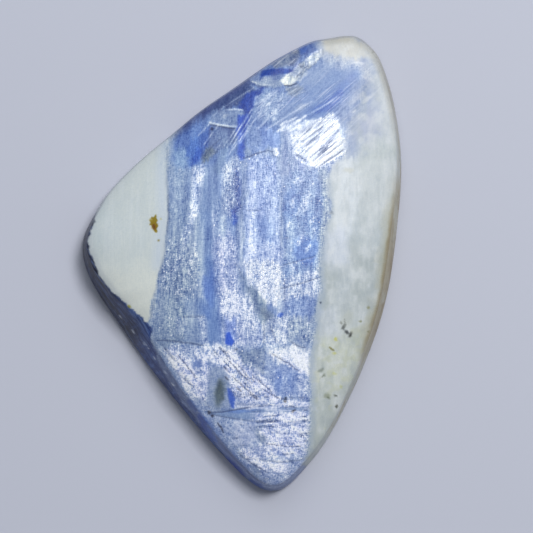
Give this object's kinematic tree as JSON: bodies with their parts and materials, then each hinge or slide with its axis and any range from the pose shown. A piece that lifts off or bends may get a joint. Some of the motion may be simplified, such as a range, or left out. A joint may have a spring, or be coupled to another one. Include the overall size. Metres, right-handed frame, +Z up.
{
  "type": "kyanite cabochon",
  "caption": "Freeform kyanite cabochon: silvery blue bladed band between milky white matrix, low dome, slanted girdle, flat back.",
  "frame": {"origin": "on the flat back, under the middle of the outline's box", "axes": "+Y along the kyanite blades, towards the pointed top; +X to the right seen from above; +Z up through the dome"},
  "size_m": [0.0318, 0.0454, 0.0068],
  "materials": {
    "stone": "gloss"
  },
  "bodies": {
    "root": {"cabochon": "stone"}
  },
  "joints": []
}
